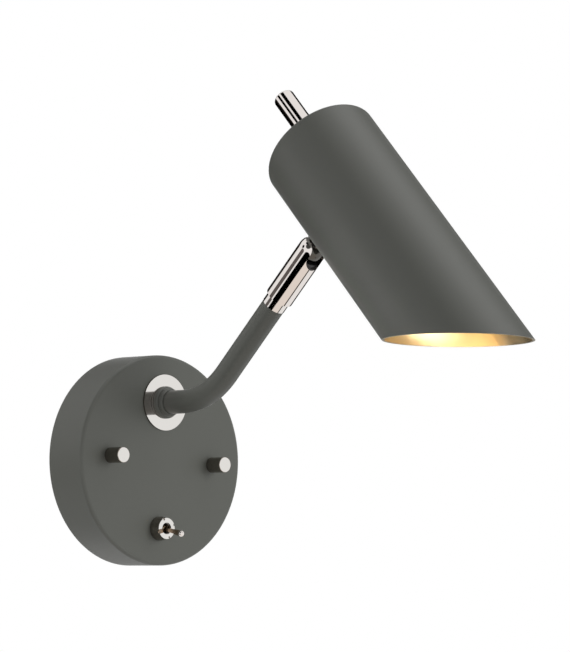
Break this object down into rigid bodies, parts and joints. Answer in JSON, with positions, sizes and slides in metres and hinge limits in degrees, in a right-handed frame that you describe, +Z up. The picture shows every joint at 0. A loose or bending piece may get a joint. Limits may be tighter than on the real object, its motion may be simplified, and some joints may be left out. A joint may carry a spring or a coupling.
{
  "type": "bedside wall reading lamp",
  "caption": "Wall reading lamp: round backplate with toggle switch, swivelling cranked arm, ball knuckle and slant-cut tubular shade with a rod on its closed end.",
  "frame": {"origin": "centre of the wall bracket's back face, in the plane of the wall and on the backplate's axis", "axes": "+Z up, -Y out from the wall into the room, +X to the right as seen from the room"},
  "size_m": [0.12, 0.3073, 0.2648],
  "materials": {
    "paint": "satin",
    "nickel": "polished",
    "zinc": "zinc plated",
    "brass": "machined",
    "nylon": "matte",
    "black": "moulded",
    "ceramic": "glazed",
    "glass": "clear",
    "flex": "matte",
    "blue": "matte",
    "brown": "matte",
    "green": "striped"
  },
  "bodies": {
    "base": {"backplate": "paint", "wall_bracket": "zinc", "bracket_studs": "zinc", "stud_lock_nuts": "zinc", "cap_nuts": "nickel", "earth_screw": "brass", "terminal_block": "nylon", "terminal_clamp_screws": "brass", "terminal_fixing_screws": "zinc", "pivot_disc": "nickel", "pivot_plate": "zinc", "pivot_friction_washer": "nylon", "switch_body": "black", "switch_terminals": "zinc", "switch_bush": "nickel", "switch_inner_nut": "zinc", "switch_lock_washer": "zinc", "switch_dress_nut": "nickel", "wire_neutral": "blue", "wire_live": "brown", "wire_switched": "brown", "wire_earth": "green"},
    "arm": {"arm_collar": "paint", "arm_tube": "paint", "pivot_nipple": "brass", "pivot_stop_washer": "zinc", "pivot_spring_washer": "zinc", "pivot_lock_nuts": "brass", "arm_flex": "flex", "knuckle_base": "nickel"},
    "knuckle": {"knuckle_barrel": "nickel", "ball_seat": "black", "disc_springs": "zinc", "knuckle_grub_screw": "zinc", "knuckle_flex": "flex"},
    "ball": {"ball_stud": "nickel", "stud_nut": "brass", "stud_spring_washer": "zinc", "stud_flex": "flex"},
    "head": {"saddle_washer": "nickel", "inner_saddle_washer": "zinc", "shade": "paint", "shade_rod": "nickel", "rod_washer": "zinc", "rod_nut": "zinc", "holder_bracket": "zinc", "holder_screws": "zinc", "lampholder": "ceramic", "lamp_body": "ceramic", "lamp_pins": "zinc", "lamp_lens": "glass", "head_flex": "flex"},
    "lever": {"switch_lever": "nickel"}
  },
  "joints": [
    {"name": "arm_swivel", "type": "hinge", "parent": "base", "child": "arm", "pos_m": [0, -0.028, 0.033], "axis": [0, -1, 0], "range_deg": [-160, 160]},
    {"name": "knuckle_turn", "type": "hinge", "parent": "arm", "child": "knuckle", "pos_m": [0, -0.14583, 0.11333], "axis": [0, -0.7071, 0.7071], "range_deg": [-90, 90]},
    {"name": "head_tilt", "type": "hinge", "parent": "knuckle", "child": "ball", "pos_m": [0, -0.14583, 0.11333], "axis": [1, 0, 0], "range_deg": [-10, 90]},
    {"name": "head_spin", "type": "hinge", "parent": "ball", "child": "head", "pos_m": [0, -0.14583, 0.11333], "axis": [0, -0.7071, 0.7071], "range_deg": [-165, 165]},
    {"name": "switch_lever", "type": "hinge", "parent": "base", "child": "lever", "pos_m": [0, -0.0317, -0.039], "axis": [-1, 0, 0], "range_deg": [0, 22]}
  ]
}
